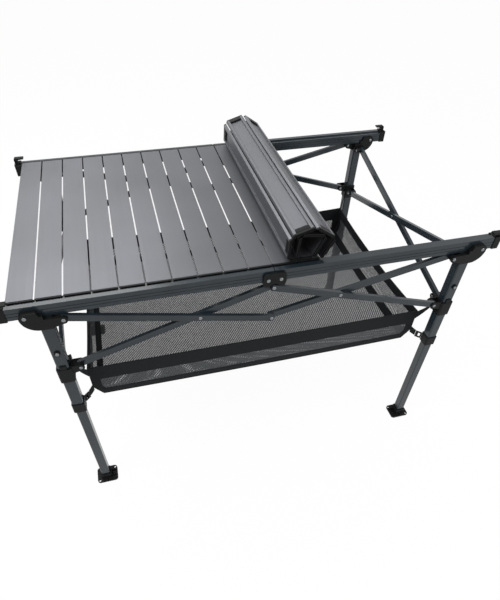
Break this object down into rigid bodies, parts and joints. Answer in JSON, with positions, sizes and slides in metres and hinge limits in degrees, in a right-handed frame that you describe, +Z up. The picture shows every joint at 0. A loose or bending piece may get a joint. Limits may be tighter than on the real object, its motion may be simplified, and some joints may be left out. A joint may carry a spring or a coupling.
{
  "type": "roll top camp table",
  "caption": "Camp table whose slatted aluminium top rolls up, on a scissor frame with telescoping legs and a mesh basket slung below.",
  "frame": {"origin": "on the floor under the middle of the table", "axes": "+X along the table towards the rolled end, +Y to the far side, +Z up"},
  "size_m": [1.2, 0.724, 0.8109],
  "materials": {
    "slat_aluminium": "satin anodised, brushed along the slat",
    "slat_cap_plastic": "moulded black",
    "frame_coat": "slate grey powder coat",
    "frame_plastic": "moulded black",
    "rivet_steel": "bright rivet heads",
    "basket_net": "woven grey mesh",
    "basket_web": "black webbing"
  },
  "bodies": {
    "frame": {"flat_slats": "slat_aluminium", "flat_slat_caps": "slat_cap_plastic", "rail_near_left": "frame_coat", "rail_near_right": "frame_coat", "rail_far_left": "frame_coat", "rail_far_right": "frame_coat", "outer_leg_near_left": "frame_coat", "outer_leg_near_right": "frame_coat", "outer_leg_far_left": "frame_coat", "outer_leg_far_right": "frame_coat", "top_bar_near_left": "frame_coat", "top_bar_near_right": "frame_coat", "top_bar_far_left": "frame_coat", "top_bar_far_right": "frame_coat", "slider_bar_near_left": "frame_coat", "slider_bar_near_right": "frame_coat", "slider_bar_far_left": "frame_coat", "slider_bar_far_right": "frame_coat", "cross_bar_left_1": "frame_coat", "cross_bar_left_2": "frame_coat", "cross_bar_right_1": "frame_coat", "cross_bar_right_2": "frame_coat", "rail_end_caps": "frame_plastic", "centre_bracket_near": "frame_plastic", "centre_bracket_far": "frame_plastic", "leg_bracket_near_left": "frame_plastic", "leg_bracket_near_right": "frame_plastic", "leg_bracket_far_left": "frame_plastic", "leg_bracket_far_right": "frame_plastic", "slider_near_left": "frame_plastic", "slider_near_right": "frame_plastic", "slider_far_left": "frame_plastic", "slider_far_right": "frame_plastic", "leg_collars": "frame_plastic", "button_rings": "frame_plastic", "basket_hooks": "frame_plastic", "frame_rivets": "rivet_steel", "basket_mesh": "basket_net", "basket_webbing": "basket_web", "basket_straps": "basket_web"},
    "leg_near_left": {"inner_leg_near_left": "frame_coat", "foot_near_left": "frame_plastic"},
    "leg_near_right": {"inner_leg_near_right": "frame_coat", "foot_near_right": "frame_plastic"},
    "leg_far_left": {"inner_leg_far_left": "frame_coat", "foot_far_left": "frame_plastic"},
    "leg_far_right": {"inner_leg_far_right": "frame_coat", "foot_far_right": "frame_plastic"},
    "button_near_left": {"lock_button_near_left": "rivet_steel"},
    "button_near_right": {"lock_button_near_right": "rivet_steel"},
    "button_far_left": {"lock_button_far_left": "rivet_steel"},
    "button_far_right": {"lock_button_far_right": "rivet_steel"},
    "slat_1": {"roll_slat_1": "slat_aluminium"},
    "slat_2": {"roll_slat_2": "slat_aluminium"},
    "slat_3": {"roll_slat_3": "slat_aluminium"},
    "slat_4": {"roll_slat_4": "slat_aluminium"},
    "slat_5": {"roll_slat_5": "slat_aluminium"},
    "slat_6": {"roll_slat_6": "slat_aluminium"},
    "slat_7": {"roll_slat_7": "slat_aluminium"},
    "slat_8": {"roll_slat_8": "slat_aluminium"}
  },
  "joints": [
    {"name": "leg_slide_near_left", "type": "slide", "parent": "frame", "child": "leg_near_left", "axis": [0, 0, 1], "range_m": [0, 0.09]},
    {"name": "leg_slide_near_right", "type": "slide", "parent": "frame", "child": "leg_near_right", "axis": [0, 0, 1], "range_m": [0, 0.09]},
    {"name": "leg_slide_far_left", "type": "slide", "parent": "frame", "child": "leg_far_left", "axis": [0, 0, 1], "range_m": [0, 0.09]},
    {"name": "leg_slide_far_right", "type": "slide", "parent": "frame", "child": "leg_far_right", "axis": [0, 0, 1], "range_m": [0, 0.09]},
    {"name": "button_press_near_left", "type": "slide", "parent": "frame", "child": "button_near_left", "axis": [0, 1, 0], "range_m": [0, 0.003], "stiffness_N_per_m": 600, "springref_m": -0.002},
    {"name": "button_press_near_right", "type": "slide", "parent": "frame", "child": "button_near_right", "axis": [0, 1, 0], "range_m": [0, 0.003], "stiffness_N_per_m": 600, "springref_m": -0.002},
    {"name": "button_press_far_left", "type": "slide", "parent": "frame", "child": "button_far_left", "axis": [0, -1, 0], "range_m": [0, 0.003], "stiffness_N_per_m": 600, "springref_m": -0.002},
    {"name": "button_press_far_right", "type": "slide", "parent": "frame", "child": "button_far_right", "axis": [0, -1, 0], "range_m": [0, 0.003], "stiffness_N_per_m": 600, "springref_m": -0.002},
    {"name": "unroll_1", "type": "hinge", "parent": "frame", "child": "slat_1", "pos_m": [0.116, 0, 0.7244], "axis": [0, 1, 0], "range_deg": [0, 60]},
    {"name": "unroll_2", "type": "hinge", "parent": "slat_1", "child": "slat_2", "pos_m": [0.145, 0, 0.77463], "axis": [0, 1, 0], "range_deg": [0, 86.51]},
    {"name": "unroll_3", "type": "hinge", "parent": "slat_2", "child": "slat_3", "pos_m": [0.09663, 0, 0.80664], "axis": [0, 1, 0], "range_deg": [0, 50.01]},
    {"name": "unroll_4", "type": "hinge", "parent": "slat_3", "child": "slat_4", "pos_m": [0.04102, 0, 0.79017], "axis": [0, 1, 0], "range_deg": [0, 71.01]},
    {"name": "unroll_5", "type": "hinge", "parent": "slat_4", "child": "slat_5", "pos_m": [0.03849, 0, 0.73222], "axis": [0, 1, 0], "range_deg": [0, 92.51]},
    {"name": "unroll_6", "type": "hinge", "parent": "slat_5", "child": "slat_6", "pos_m": [0.09649, 0, 0.73222], "axis": [0, 1, 0], "range_deg": [0, 64.51]},
    {"name": "unroll_7", "type": "hinge", "parent": "slat_6", "child": "slat_7", "pos_m": [0.12146, 0, 0.78457], "axis": [0, 1, 0], "range_deg": [0, 109.01]},
    {"name": "unroll_8", "type": "hinge", "parent": "slat_7", "child": "slat_8", "pos_m": [0.06384, 0, 0.79114], "axis": [0, 1, 0], "range_deg": [0, 91.01]}
  ],
  "couplings": [
    {"joint": "unroll_2", "follows": "unroll_1", "ratio": 1.4417},
    {"joint": "unroll_3", "follows": "unroll_1", "ratio": 0.83333},
    {"joint": "unroll_4", "follows": "unroll_1", "ratio": 1.1833},
    {"joint": "unroll_5", "follows": "unroll_1", "ratio": 1.5417},
    {"joint": "unroll_6", "follows": "unroll_1", "ratio": 1.075},
    {"joint": "unroll_7", "follows": "unroll_1", "ratio": 1.8167},
    {"joint": "unroll_8", "follows": "unroll_1", "ratio": 1.5167}
  ]
}
